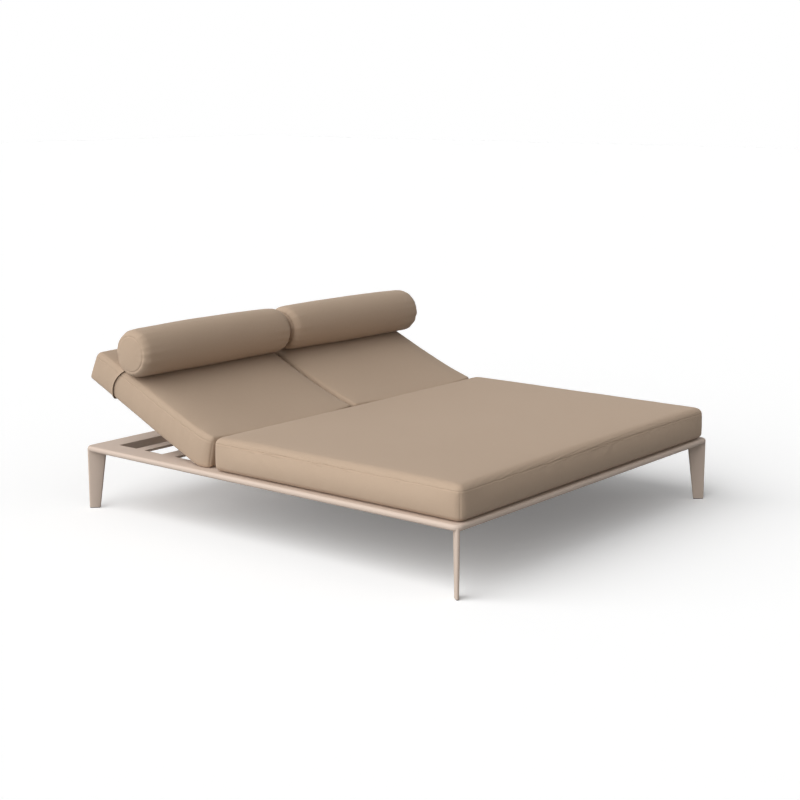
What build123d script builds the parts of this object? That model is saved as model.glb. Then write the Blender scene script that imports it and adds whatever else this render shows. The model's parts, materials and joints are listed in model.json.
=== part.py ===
from build123d import *
from math import atan2, ceil, cos, degrees, radians, sin, sqrt
import os

# Double chaise lounger: a metal frame on four legs, one wide seat cushion, and two backs side by side
# that hinge up and are held by a folding stay in a notched rack. Each back carries a slip-on headrest.
# Millimetres. X runs across, Y from the foot end to the head end, Z up. The origin is on the floor,
# under the middle of the frame. Left and right are seen from the foot end, so left is minus X.

# Overall size
overall_length = 2000.0
overall_width = 1820.0
frame_top = 275.0

# Rails of the base frame: a hollow section with a rounded outer edge and a fin under its inner edge
side_rail_width = 100.0
head_rail_width = 108.0
foot_rail_width = 100.0
rail_thickness = 24.0
rail_corner_radius = 30.0
rail_edge_round = 11.0
rail_wall = 3.0
rail_fin_thickness = 6.0
rail_fin_depth = 24.0

# Corner keys inside the rails
key_reach = 170.0
key_clearance = 0.3

# Legs: blades set across the corners, wide at the top
leg_outer_gap = 11.0
leg_top_width = 82.0
leg_foot_width = 47.0
leg_top_thickness = 21.0
leg_foot_thickness = 16.0
leg_end_share = 0.3
leg_flank_share = 0.38
glide_thickness = 3.0
glide_margin = 1.5
stud_radius = 4.0
stud_spacing = 36.0
stud_depth = 40.0
stud_clearance = 0.3

# Beams and bars between the rails
centre_beam_width = 60.0
hinge_beam_width = 50.0
beam_depth = 36.0
bar_thickness = 10.0
beam_wall = 3.0
bar_wall = 2.0
head_bar_gap = 108.0
first_head_bar_width = 52.0
second_head_bar_width = 78.0
seat_slat_width = 50.0
seat_slat_largest_gap = 100.0

# The well between two beams under each back, where the stay works
well_width = 200.0
well_beam_width = 14.0

# Hinge of the backs
hinge_from_head_end = 611.0
hinge_depth = 13.0
hinge_setback = 16.0
hinge_side_inset = 90.0
hinge_pin_radius = 4.0
hinge_pin_head_radius = 6.5
hinge_pin_head_height = 2.0
hinge_running_clearance = 0.05
ear_thickness = 10.0
ear_radius = 10.0
ear_side_clearance = 0.5
cheek_thickness = 6.0
cheek_radius = 11.0
bracket_plate_thickness = 6.0
bracket_plate_width = 64.0
bolt_radius = 2.5
bolt_head_radius = 4.5
bolt_head_height = 3.0
bolt_reach = 18.0
bolt_clearance = 0.3

# Angles of the backs above flat, in degrees: the pose shown, the steepest, and the notches
back_rest_angle = 25.0
back_steepest_angle = 55.0
rack_angles = (15.0, 25.0, 35.0, 45.0, 55.0)

# Back frames, which lie on the base frame when flat
back_flat_gap = 0.3
back_member_width = 40.0
back_member_thickness = 12.0
back_frame_start = 12.0
back_frame_end_setback = 18.0
back_frame_side_inset = 30.0
back_frame_middle_gap = 20.0
back_slat_width = 50.0
grip_pad_inset = 60.0
grip_pad_width = 30.0

# Stays: two arms, a pivot rod, and a foot bar with sleeves that run along the racks
stay_end_clearance = 6.0
stay_arm_thickness = 8.0
stay_arm_radius = 8.0
stay_arm_gap = 4.0
stay_ear_thickness = 8.0
stay_rod_radius = 5.0
stay_rod_end = 3.0
sleeve_radius = 7.0
sleeve_side_clearance = 2.0
sleeve_overlap = 4.0
rack_width = 10.0
rack_clearance = 0.3
rack_end_margin = 26.0
notch_drop = 6.0
notch_clearance = 0.5
rack_bolt_inset = 12.0

# Seat cushion
seat_side_inset = 25.0
seat_foot_inset = 10.0
seat_from_head_end = 754.0
seat_thickness = 143.0
seat_edge_height = 134.0
seat_draw_in = 5.0

# Back cushions
back_length = 674.0
back_side_inset = 34.0
back_middle_gap = 6.0
back_thickness = 136.0
back_edge_height = 120.0
back_front_fullness = 24.0
back_draw_in = 4.0
soft_margin = 1.5

# All cushions
cushion_edge_round = 26.0
cushion_corner_round = 24.0
cross_crown_rise = 2.0
soft_clearance = 0.3

# Headrests: a hood over the head end of the back cushion, and a bolster sewn to it
hood_wall = 2.0
hood_depth_below = 158.0
hood_depth_above = 180.0
bolster_radius = 102.0
bolster_end_radius = 97.0
bolster_end_round = 26.0
bolster_from_end = 199.0
bolster_height = 235.0
bolster_side_overhang = 14.0
bolster_middle_gap = 14.0

# Cuts run past the piece by this much
overrun = 20.0

# Levels and lines that follow from the sizes above
rail_bottom = frame_top - rail_thickness
fin_bottom = rail_bottom - rail_fin_depth
beam_bottom = frame_top - beam_depth
bar_bottom = frame_top - bar_thickness
inner_x = overall_width / 2 - side_rail_width
head_inner_y = overall_length / 2 - head_rail_width
foot_inner_y = foot_rail_width - overall_length / 2
hinge_y = overall_length / 2 - hinge_from_head_end
hinge_z = frame_top - hinge_depth
hinge_beam_head_y = hinge_y - hinge_setback
hinge_beam_foot_y = hinge_beam_head_y - hinge_beam_width
well_x = -(inner_x + centre_beam_width / 2) / 2
hinge_spread = 2 * (inner_x - hinge_side_inset + well_x)
stay_length = (head_inner_y - hinge_y - sleeve_radius - stay_end_clearance) / 2
frame_low = hinge_depth + back_flat_gap
frame_high = frame_low + back_member_thickness
cushion_low = frame_high + 2 * soft_clearance + hood_wall
back_frame_end = back_length - back_frame_end_setback
seat_rear_y = overall_length / 2 - seat_from_head_end
back_outer_x = back_side_inset - overall_width / 2
back_inner_x = -back_middle_gap / 2
stay_ear_x = well_width / 2 - sleeve_side_clearance - rack_width - sleeve_overlap - stay_arm_thickness \
    - stay_arm_gap - stay_ear_thickness / 2
stay_arm_x = stay_ear_x + stay_ear_thickness / 2 + stay_arm_gap + stay_arm_thickness / 2
rack_top = hinge_z - sleeve_radius - rack_clearance


# Helpers

def box_between(x0, x1, y0, y1, z0, z1):
    """A block given by its two corners"""
    return Pos((x0 + x1) / 2, (y0 + y1) / 2, (z0 + z1) / 2) * Box(x1 - x0, y1 - y0, z1 - z0)


def tube_x(x0, x1, y0, y1, z0, z1, wall):
    """A rectangular tube along X, open at its ends"""
    core = box_between(x0 - overrun, x1 + overrun, y0 + wall, y1 - wall, z0 + wall, z1 - wall)
    return box_between(x0, x1, y0, y1, z0, z1) - core


def tube_y(x0, x1, y0, y1, z0, z1, wall):
    """A rectangular tube along Y, open at its ends"""
    core = box_between(x0 + wall, x1 - wall, y0 - overrun, y1 + overrun, z0 + wall, z1 - wall)
    return box_between(x0, x1, y0, y1, z0, z1) - core


def rod_x(radius, x0, x1, y=0.0, z=0.0):
    """A round rod along X"""
    return Pos((x0 + x1) / 2, y, z) * Rot(0, 90, 0) * Cylinder(radius, x1 - x0)


def rod_y(radius, x, y0, y1, z):
    """A round rod along Y"""
    return Pos(x, (y0 + y1) / 2, z) * Rot(90, 0, 0) * Cylinder(radius, y1 - y0)


def rod_z(radius, x, y, z0, z1):
    """A round rod along Z"""
    return Pos(x, y, (z0 + z1) / 2) * Cylinder(radius, z1 - z0)


def prism_x(outline, x0, x1):
    """A closed outline of (y, z) points, extruded along X"""
    face = make_face(Polyline([Vector(x0, y, z) for y, z in outline], close=True))
    return extrude(face, x1 - x0, dir=(1, 0, 0))


def mirrored(shape):
    """The same piece on the right-hand side"""
    return mirror(shape, about=Plane.YZ)


def group(pieces):
    """Separate solids that share one node"""
    return Compound(children=[solid for piece in pieces for solid in piece.solids()])


# Base frame

def rail_core(margin):
    """The four rails as one full ring, drawn in by a margin on every face"""
    outline = RectangleRounded(overall_width - 2 * margin, overall_length - 2 * margin,
                               rail_corner_radius - margin)
    ring = extrude(Pos(0, 0, rail_bottom + margin) * outline, rail_thickness - 2 * margin)
    levels = ring.edges().group_by(Axis.Z)
    ring = fillet(levels[0] + levels[-1], rail_edge_round - margin)
    opening = box_between(-inner_x - margin, inner_x + margin, foot_inner_y - margin,
                          head_inner_y + margin, rail_bottom, frame_top)
    return ring - opening


def rail_fins():
    """The fin that stands under the rails' inner edge, all the way round"""
    outside = box_between(-inner_x - rail_fin_thickness, inner_x + rail_fin_thickness,
                          foot_inner_y - rail_fin_thickness, head_inner_y + rail_fin_thickness,
                          fin_bottom, rail_bottom)
    return outside - box_between(-inner_x, inner_x, foot_inner_y, head_inner_y, fin_bottom, rail_bottom)


def mitre(points):
    """A block whose ends follow the mitres, to cut one rail out of the ring"""
    face = make_face(Polyline([Vector(x, y, fin_bottom) for x, y in points], close=True))
    return extrude(face, frame_top - fin_bottom, dir=(0, 0, 1))


def corner_place(side, end):
    """A place at one corner of the frame, with its X axis running diagonally inwards"""
    turn = degrees(atan2(-end, -side))
    return Pos(side * overall_width / 2, end * overall_length / 2, 0) * Rot(0, 0, turn)


corners = {"head_left": (-1, 1), "head_right": (1, 1), "foot_left": (-1, -1), "foot_right": (1, -1)}


def stud_insets():
    """How far each corner's two studs stand in from the corner, along the diagonal"""
    middle = leg_outer_gap + leg_top_width / 2
    return (middle - stud_spacing / 2, middle + stud_spacing / 2)


def studs(radius, low, high):
    """The studs, or with a larger radius their holes"""
    return [corner_place(*corner) * rod_z(radius, inset, 0, low, high)
            for corner in corners.values() for inset in stud_insets()]


def rails():
    """Four hollow rails, mitred at the corners"""
    ring = rail_core(0) - rail_core(rail_wall) + rail_fins()
    for hole in studs(stud_radius + stud_clearance, fin_bottom, rail_bottom + 2 * rail_wall):
        ring = ring - hole
    out_x = overall_width / 2
    out_y = overall_length / 2
    cuts = {
        "head_rail": [(-out_x, out_y), (out_x, out_y), (inner_x, head_inner_y), (-inner_x, head_inner_y)],
        "foot_rail": [(-out_x, -out_y), (out_x, -out_y), (inner_x, foot_inner_y), (-inner_x, foot_inner_y)],
        "side_rail_left": [(-out_x, -out_y), (-out_x, out_y), (-inner_x, head_inner_y),
                           (-inner_x, foot_inner_y)],
        "side_rail_right": [(out_x, -out_y), (out_x, out_y), (inner_x, head_inner_y),
                            (inner_x, foot_inner_y)],
    }
    return {name: ring & mitre(points) for name, points in cuts.items()}


def corner_keys():
    """Keys inside the hollow rails that join them at the mitres and hold the leg studs"""
    core = rail_core(rail_wall + key_clearance)
    keys = []
    for side, end in corners.values():
        x = side * overall_width / 2
        y = end * overall_length / 2
        block = box_between(min(x, x - side * key_reach), max(x, x - side * key_reach),
                            min(y, y - end * key_reach), max(y, y - end * key_reach),
                            rail_bottom, frame_top)
        key = core & block
        for stud in studs(stud_radius, rail_bottom - stud_depth, rail_bottom + 2 * rail_wall):
            key = key - stud
        keys.append(key)
    return keys


def leg_section(width, thickness):
    """A lens-like section, with its width along X"""
    end = width / 2 - leg_end_share * thickness
    flank = leg_flank_share * thickness
    edges = [ThreePointArc((-end, flank), (0, thickness / 2), (end, flank)),
             ThreePointArc((end, flank), (width / 2, 0), (end, -flank)),
             ThreePointArc((end, -flank), (0, -thickness / 2), (-end, -flank)),
             ThreePointArc((-end, -flank), (-width / 2, 0), (-end, flank))]
    return make_face(edges)


def leg(corner):
    """One leg: its outer edge stands upright under the corner, its inner edge slopes in to the foot"""
    top = frame_top - rail_thickness / 2
    foot = Pos(leg_outer_gap + leg_foot_width / 2, 0, glide_thickness) \
        * leg_section(leg_foot_width, leg_foot_thickness)
    head = Pos(leg_outer_gap + leg_top_width / 2, 0, top) * leg_section(leg_top_width, leg_top_thickness)
    blade = corner_place(*corner) * loft([foot, head], ruled=True)
    blade = blade - rail_core(0)
    for hole in studs(stud_radius + stud_clearance, rail_bottom - stud_depth - stud_clearance, frame_top):
        blade = blade - hole
    return blade


def glide(corner):
    """The plastic glide under one leg"""
    section = leg_section(leg_foot_width - 2 * glide_margin, leg_foot_thickness - 2 * glide_margin)
    pad = extrude(Pos(leg_outer_gap + leg_foot_width / 2, 0, 0) * section, glide_thickness)
    return corner_place(*corner) * pad


def half_bars(y0, y1):
    """One cross bar of the left half, in two lengths with the well between them"""
    well_edge = well_width / 2 + well_beam_width
    outer = tube_x(-inner_x, well_x - well_edge, y0, y1, bar_bottom, frame_top, bar_wall)
    inner = tube_x(well_x + well_edge, -centre_beam_width / 2, y0, y1, bar_bottom, frame_top, bar_wall)
    return [outer, inner]


def head_bars():
    """The two cross bars between the head rail and the hinge"""
    first = head_inner_y - head_bar_gap
    second = first - first_head_bar_width - head_bar_gap
    return half_bars(first - first_head_bar_width, first) + half_bars(second - second_head_bar_width, second)


def seat_slats():
    """The slats under the left half of the seat cushion"""
    span = hinge_beam_foot_y - foot_inner_y
    count = ceil((span - seat_slat_largest_gap) / (seat_slat_width + seat_slat_largest_gap))
    gap = (span - count * seat_slat_width) / (count + 1)
    slats = []
    for index in range(count):
        y = foot_inner_y + gap + index * (seat_slat_width + gap)
        slats.append(tube_x(-inner_x, -centre_beam_width / 2, y, y + seat_slat_width,
                            bar_bottom, frame_top, bar_wall))
    return slats


def well_beam(side):
    """The beam on one side of the left well, and its rack's bolt holes"""
    near = well_x + side * well_width / 2
    far = near + side * well_beam_width
    beam = tube_y(min(near, far), max(near, far), hinge_beam_head_y, head_inner_y,
                  beam_bottom, frame_top, bar_wall)
    for bolt in rack_bolts(side, bolt_radius + bolt_clearance, 0):
        beam = beam - bolt
    return beam


def rack_ends():
    """Where the left racks start and stop along Y"""
    return (hinge_y + 2 * stay_length * cos(radians(max(rack_angles))) - rack_end_margin,
            hinge_y + 2 * stay_length + stay_arm_radius)


def rack_bolts(side, radius, head_height):
    """The bolts that hold one rack to its beam, or with a larger radius their holes"""
    face = well_x + side * (well_width / 2 - rack_width)
    tip = face + side * (rack_width + well_beam_width / 2)
    start, stop = rack_ends()
    height = (beam_bottom + rack_top - notch_drop) / 2
    bolts = []
    for y in (start + rack_bolt_inset, stop - rack_bolt_inset):
        bolt = rod_x(radius, min(face, tip), max(face, tip), y, height)
        if head_height > 0:
            cap = face - side * head_height
            bolt = bolt + rod_x(bolt_head_radius, min(face, cap), max(face, cap), y, height)
        bolts.append(bolt)
    return bolts


def rack(side):
    """A notched rack on the well's side; the stay's sleeve runs just above it"""
    wall = well_x + side * well_width / 2
    face = wall - side * rack_width
    start, stop = rack_ends()
    strip = box_between(min(wall, face), max(wall, face), start, stop, beam_bottom, rack_top)
    for angle in rack_angles:
        y = hinge_y + 2 * stay_length * cos(radians(angle))
        notch = rod_x(sleeve_radius + notch_clearance, min(wall, face) - overrun,
                      max(wall, face) + overrun, y, hinge_z - notch_drop)
        strip = strip - notch
    for bolt in rack_bolts(side, bolt_radius + bolt_clearance, 0):
        strip = strip - bolt
    return strip


# Hinges of the backs

def hinge_places():
    """The middles of the left back's two hinges along X"""
    return (well_x - hinge_spread / 2, well_x + hinge_spread / 2)


def bracket_bolts(radius, head_height):
    """The bolts through the left brackets' plates, or with a larger radius their holes"""
    bolts = []
    plate_face = hinge_beam_head_y + bracket_plate_thickness
    height = (beam_bottom + frame_top) / 2
    for x in hinge_places():
        for side in (-1, 1):
            bolt_x = x + side * (bracket_plate_width / 2 - bolt_head_radius - bolt_clearance)
            bolt = rod_y(radius, bolt_x, hinge_beam_head_y - bolt_reach, plate_face, height)
            if head_height > 0:
                bolt = bolt + rod_y(bolt_head_radius, bolt_x, plate_face, plate_face + head_height, height)
            bolts.append(bolt)
    return bolts


def hinge_beam():
    """The left half of the beam that carries the hinges"""
    beam = tube_x(-inner_x, -centre_beam_width / 2, hinge_beam_foot_y, hinge_beam_head_y,
                  beam_bottom, frame_top, beam_wall)
    for hole in bracket_bolts(bolt_radius + bolt_clearance, 0):
        beam = beam - hole
    return beam


def hinge_brackets():
    """Two forked brackets on the beam, whose cheeks hold the hinge pins"""
    brackets = []
    inside = ear_thickness / 2 + ear_side_clearance
    for x in hinge_places():
        bracket = box_between(x - bracket_plate_width / 2, x + bracket_plate_width / 2, hinge_beam_head_y,
                              hinge_beam_head_y + bracket_plate_thickness, beam_bottom, frame_top)
        for side in (-1, 1):
            x0 = min(x + side * inside, x + side * (inside + cheek_thickness))
            cheek = box_between(x0, x0 + cheek_thickness, hinge_beam_head_y, hinge_y,
                                hinge_z - cheek_radius, hinge_z + cheek_radius)
            cheek = cheek + rod_x(cheek_radius, x0, x0 + cheek_thickness, hinge_y, hinge_z)
            bracket = bracket + cheek
        bracket = bracket - rod_x(hinge_pin_radius, x - bracket_plate_width, x + bracket_plate_width,
                                  hinge_y, hinge_z)
        for hole in bracket_bolts(bolt_radius + bolt_clearance, 0):
            bracket = bracket - hole
        brackets.append(bracket)
    return brackets


def hinge_pins():
    """One headed pin through each bracket"""
    pins = []
    outside = ear_thickness / 2 + ear_side_clearance + cheek_thickness
    for x in hinge_places():
        pin = rod_x(hinge_pin_radius, x - outside, x + outside, hinge_y, hinge_z)
        for side in (-1, 1):
            near = x + side * outside
            far = near + side * hinge_pin_head_height
            pin = pin + rod_x(hinge_pin_head_radius, min(near, far), max(near, far), hinge_y, hinge_z)
        pins.append(pin)
    return pins


# The left back, drawn flat with the hinge axis at its origin: Y runs up the back, Z is its thickness

back_place = Pos(0, hinge_y, hinge_z) * Rot(back_rest_angle, 0, 0)
frame_outer_x = back_outer_x + back_frame_side_inset
frame_inner_x = -back_frame_middle_gap / 2


def back_side_member(x0):
    """A flat tube up one side of the back frame"""
    return tube_y(x0, x0 + back_member_width, back_frame_start, back_frame_end,
                  frame_low, frame_high, bar_wall)


def back_cross_member(y0, width):
    """A flat tube across the back frame, between the side members"""
    return tube_x(frame_outer_x + back_member_width, frame_inner_x - back_member_width,
                  y0, y0 + width, frame_low, frame_high, bar_wall)


def back_slat_middles():
    """The slats' middles: one carries the stay, the others share out what is left"""
    low = back_frame_start + back_member_width
    high = back_frame_end - back_member_width
    return ((low + stay_length) / 2, stay_length,
            stay_length + (high - stay_length) / 3, stay_length + 2 * (high - stay_length) / 3)


def back_slats():
    """The slats between the side members"""
    return [back_cross_member(y - back_slat_width / 2, back_slat_width) for y in back_slat_middles()]


def grip_pads():
    """Grip pads between the first three slats and the cushion"""
    pads = []
    for y in back_slat_middles()[:3]:
        x0 = frame_outer_x + back_member_width + grip_pad_inset
        x1 = frame_inner_x - back_member_width - grip_pad_inset
        pads.append(box_between(x0, x1, y - grip_pad_width / 2, y + grip_pad_width / 2,
                                frame_high, cushion_low))
    return pads


def hinge_ears():
    """Two ears under the bottom member that turn on the hinge pins"""
    ears = []
    reach = back_frame_start + back_member_width
    for x in hinge_places():
        x0 = x - ear_thickness / 2
        x1 = x + ear_thickness / 2
        web = prism_x([(0, -ear_radius), (reach, frame_low / 2), (reach, frame_low),
                       (back_frame_start, frame_low), (0, ear_radius)], x0, x1)
        ear = web + rod_x(ear_radius, x0, x1)
        ears.append(ear - rod_x(hinge_pin_radius + hinge_running_clearance, x0 - overrun, x1 + overrun))
    return ears


def stay_ears():
    """Two ears under the stay slat that carry the stay's pivot rod"""
    ears = []
    for side in (-1, 1):
        x = well_x + side * stay_ear_x
        x0 = x - stay_ear_thickness / 2
        x1 = x + stay_ear_thickness / 2
        block = box_between(x0, x1, stay_length - ear_radius, stay_length + ear_radius, 0, frame_low)
        ear = block + rod_x(ear_radius, x0, x1, stay_length)
        bore = rod_x(stay_rod_radius + hinge_running_clearance, x0 - overrun, x1 + overrun, stay_length)
        ears.append(ear - bore)
    return ears


# Cushions: each is the space shared by its plan, its long profile and its cross profile

def drawn_side(start, middle, end, draw_in):
    """One side of a plan: an arc through its middle, or a straight line where it draws in by nothing"""
    return ThreePointArc(start, middle, end) if draw_in > 0 else Line(start, end)


def plan_block(x0, x1, y0, y1, draw_in, z0, z1):
    """A plan with rounded corners whose sides draw in between the corners"""
    xm = (x0 + x1) / 2
    ym = (y0 + y1) / 2
    edges = [drawn_side((x0, y0, z0), (xm, y0 + draw_in, z0), (x1, y0, z0), draw_in),
             drawn_side((x1, y0, z0), (x1 - draw_in, ym, z0), (x1, y1, z0), draw_in),
             drawn_side((x1, y1, z0), (xm, y1 - draw_in, z0), (x0, y1, z0), draw_in),
             drawn_side((x0, y1, z0), (x0 + draw_in, ym, z0), (x0, y0, z0), draw_in)]
    face = make_face(edges)
    face = fillet(face.vertices(), cushion_corner_round)
    return extrude(face, z1 - z0, dir=(0, 0, 1))


def crowned_profile_x(y0, y1, z0, edge, top, x0, x1):
    """A long profile with a crowned top, extruded along X; both upper edges are rounded"""
    ends = [Polyline([(x0, y0, edge), (x0, y0, z0), (x0, y1, z0), (x0, y1, edge)]),
            ThreePointArc((x0, y1, edge), (x0, (y0 + y1) / 2, top), (x0, y0, edge))]
    face = make_face(ends)
    upper = face.vertices().sort_by(Axis.Z)[-2:]
    face = fillet(upper, cushion_edge_round)
    return extrude(face, x1 - x0, dir=(1, 0, 0))


def crowned_profile_y(x0, x1, z0, edge, top, y0, y1, fall=0.0):
    """A cross profile, extruded along Y; its crown stands over the long one, so that the two cross cleanly.
    With a fall, it sinks by that share of its length on the way."""
    ends = [Polyline([(x0, y0, edge), (x0, y0, z0), (x1, y0, z0), (x1, y0, edge)]),
            ThreePointArc((x1, y0, edge), ((x0 + x1) / 2, y0, top + cross_crown_rise), (x0, y0, edge))]
    face = make_face(ends)
    upper = face.vertices().sort_by(Axis.Z)[-2:]
    face = fillet(upper, cushion_edge_round)
    return extrude(face, (y1 - y0) * sqrt(1 + fall ** 2), dir=(0, 1, -fall))


def seat_cushion():
    """One cushion as wide as the frame, with a low crown"""
    x1 = overall_width / 2 - seat_side_inset
    y0 = seat_foot_inset - overall_length / 2
    edge = frame_top + seat_edge_height
    top = frame_top + seat_thickness
    plan = plan_block(-x1, x1, y0, seat_rear_y, seat_draw_in, frame_top - overrun, top + overrun)
    along = crowned_profile_x(y0, seat_rear_y, frame_top, edge, top, -x1 - overrun, x1 + overrun)
    across = crowned_profile_y(-x1, x1, frame_top - overrun, edge, top, y0 - overrun, seat_rear_y + overrun)
    return along & across & plan


def frame_front_limit(height):
    """How far towards the foot end the back cushion may reach and still clear the frame at its steepest"""
    steep = radians(back_steepest_angle)
    return (hinge_depth + soft_margin - height * cos(steep)) / sin(steep)


def seat_front_limit(height):
    """How far it may reach and still clear the seat cushion at its steepest"""
    steep = radians(back_steepest_angle)
    return (height * sin(steep) - (hinge_y - seat_rear_y - soft_margin)) / cos(steep)


def back_form(grow, draw_in):
    """The left back cushion, or with a growth the space that its hood holds"""
    x0 = back_outer_x - grow
    x1 = back_inner_x + grow
    low = cushion_low - grow
    edge = cushion_low + back_edge_height + grow
    top = cushion_low + back_thickness + grow
    end = back_length + grow
    steep = radians(back_steepest_angle)
    nose_height = (hinge_depth + soft_margin) * cos(steep) \
        + (hinge_y - seat_rear_y - soft_margin) * sin(steep)
    nose = frame_front_limit(nose_height)
    start = frame_front_limit(low)
    front_edge = edge + back_front_fullness
    brow = seat_front_limit(front_edge)
    fall = back_front_fullness / (end - brow)
    first = nose - overrun
    lift = (end - first) * fall
    side = x0 - overrun
    crown = ThreePointArc((side, brow, front_edge),
                          (side, (brow + end) / 2, top + back_front_fullness / 2), (side, end, edge))
    front = Polyline([(side, end, edge), (side, end, low), (side, start, low), (side, nose, nose_height),
                      (side, brow, front_edge)])
    face = make_face([crown, front])
    corner = [face.vertices().sort_by_distance((side, y, z))[0]
              for y, z in ((brow, front_edge), (end, edge), (nose, nose_height))]
    face = fillet(corner, cushion_edge_round / 2)
    along = extrude(face, x1 + overrun - side, dir=(1, 0, 0))
    across = crowned_profile_y(x0, x1, low - overrun, edge + lift, top + lift, first, end + overrun, fall)
    plan = plan_block(x0, x1, nose - 2 * overrun, end, draw_in, low - overrun, top + lift + overrun)
    return along & across & plan


def hood():
    """A hood that slips over the head end of the left back cushion"""
    low = cushion_low - hood_wall - soft_clearance
    high = cushion_low + back_thickness + hood_wall + soft_clearance
    cap = prism_x([(back_length - hood_depth_below, low - overrun),
                   (back_length + overrun, low - overrun), (back_length + overrun, high + overrun),
                   (back_length - hood_depth_above, high + overrun), (back_length - hood_depth_above, high)],
                  back_outer_x - overrun, overrun)
    return (back_form(soft_clearance + hood_wall, 0) & cap) - back_form(soft_clearance, 0)


def bolster():
    """A round bolster across the back, pressed flat where it lies on its hood"""
    x0 = back_outer_x - bolster_side_overhang
    x1 = -bolster_middle_gap / 2
    middle = (x0 + x1) / 2
    half = (x1 - x0) / 2
    outline = Polyline([(-half, bolster_end_radius), (-half, 0), (half, 0), (half, bolster_end_radius)])
    belly = ThreePointArc((half, bolster_end_radius), (0, bolster_radius), (-half, bolster_end_radius))
    face = make_face([outline, belly])
    rim = face.vertices().sort_by(Axis.Y)[-2:]
    face = fillet(rim, bolster_end_round)
    roll = Pos(middle, back_length - bolster_from_end, cushion_low + bolster_height) * revolve(face, Axis.X)
    return roll - back_form(soft_clearance + hood_wall, 0)


# Left stay, drawn with its pivot at the origin and its foot bar up the Y axis

rest = radians(back_rest_angle)
stay_place = Pos(well_x, hinge_y + stay_length * cos(rest), hinge_z + stay_length * sin(rest)) \
    * Rot(-back_rest_angle, 0, 0)


def stay_arms():
    """Two flat arms with rounded ends"""
    arms = []
    for side in (-1, 1):
        x0 = side * stay_arm_x - stay_arm_thickness / 2
        x1 = x0 + stay_arm_thickness
        arm = box_between(x0, x1, 0, stay_length, -stay_arm_radius, stay_arm_radius)
        for y in (0, stay_length):
            arm = arm + rod_x(stay_arm_radius, x0, x1, y)
        for y in (0, stay_length):
            arm = arm - rod_x(stay_rod_radius, x0 - overrun, x1 + overrun, y)
        arms.append(arm)
    return arms


def stay_pivot_rod():
    """The rod through both arms and the ears of the back"""
    end = stay_arm_x + stay_arm_thickness / 2 + stay_rod_end
    return rod_x(stay_rod_radius, -end, end)


def stay_foot_bar():
    """The bar across the arms' far ends, which reaches over both racks"""
    end = well_width / 2 - sleeve_side_clearance
    return rod_x(stay_rod_radius, -end, end, stay_length)


def stay_sleeves():
    """Sleeves on the foot bar's ends, which ride on the racks"""
    sleeves = []
    far = well_width / 2 - sleeve_side_clearance
    near = far - rack_width - sleeve_overlap / 2
    for side in (-1, 1):
        x0 = min(side * near, side * far)
        x1 = max(side * near, side * far)
        sleeve = rod_x(sleeve_radius, x0, x1, stay_length)
        sleeves.append(sleeve - rod_x(stay_rod_radius, x0 - overrun, x1 + overrun, stay_length))
    return sleeves


# All the pieces by name

nodes = dict(rails())
nodes["corner_keys"] = group(corner_keys())
for corner_name, corner in corners.items():
    nodes["leg_" + corner_name] = leg(corner)
nodes["leg_glides"] = group([glide(corner) for corner in corners.values()])
nodes["leg_studs"] = group(studs(stud_radius, rail_bottom - stud_depth, rail_bottom + 2 * rail_wall))
nodes["centre_beam"] = tube_y(-centre_beam_width / 2, centre_beam_width / 2, foot_inner_y,
                              head_inner_y, fin_bottom, frame_top, beam_wall)
nodes["hinge_beam"] = group([hinge_beam(), mirrored(hinge_beam())])
nodes["seat_cushion"] = seat_cushion()

left_pieces = {
    "head_bars": head_bars(),
    "seat_slats": seat_slats(),
    "well_beam_outer": [well_beam(-1)],
    "well_beam_inner": [well_beam(1)],
    "racks": [rack(-1), rack(1)],
    "rack_bolts": [bolt for side in (-1, 1) for bolt in rack_bolts(side, bolt_radius, bolt_head_height)],
    "hinge_brackets": hinge_brackets(),
    "hinge_pins": hinge_pins(),
    "bracket_bolts": bracket_bolts(bolt_radius, bolt_head_height),
    "back_outer_member": [back_place * back_side_member(frame_outer_x)],
    "back_inner_member": [back_place * back_side_member(frame_inner_x - back_member_width)],
    "back_bottom_member": [back_place * back_cross_member(back_frame_start, back_member_width)],
    "back_top_member": [back_place * back_cross_member(back_frame_end - back_member_width,
                                                       back_member_width)],
    "back_slats": [back_place * slat for slat in back_slats()],
    "back_grip_pads": [back_place * pad for pad in grip_pads()],
    "back_hinge_ears": [back_place * ear for ear in hinge_ears()],
    "back_stay_ears": [back_place * ear for ear in stay_ears()],
    "back_cushion": [back_place * back_form(0, back_draw_in)],
    "stay_arms": [stay_place * arm for arm in stay_arms()],
    "stay_pivot_rod": [stay_place * stay_pivot_rod()],
    "stay_foot_bar": [stay_place * stay_foot_bar()],
    "stay_sleeves": [stay_place * sleeve for sleeve in stay_sleeves()],
    "headrest_hood": [back_place * hood()],
    "headrest_bolster": [back_place * bolster()],
}
shared_between_sides = ("rack_bolts", "bracket_bolts")
for piece_name, pieces in left_pieces.items():
    right = [mirrored(piece) for piece in pieces]
    if piece_name in shared_between_sides:
        nodes[piece_name] = group(pieces + right)
    else:
        nodes[piece_name + "_left"] = group(pieces)
        nodes[piece_name + "_right"] = group(right)

os.makedirs("parts", exist_ok=True)
for node_name, node_shape in nodes.items():
    export_step(node_shape, "parts/" + node_name + ".step")
    print(node_name, len(node_shape.solids()), round(node_shape.volume))
print("nodes", len(nodes))
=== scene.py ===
# %% [markdown]
# # A double chaise lounger, dressed
# The construction model already holds the metal: rails, legs, bars, hinges and the stays that prop the backs.
# This lesson adds what a construction model can't show well: the stuffed cushions, the two headrests, the
# cloth, the powder coat, and the light. Everything is in metres. X runs across the lounger, Y from its foot
# end to its head end, and Z up, so a piece made here needs no fitting.

from math import atan2, cos, exp, log, pi, radians, sin, tan

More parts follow.
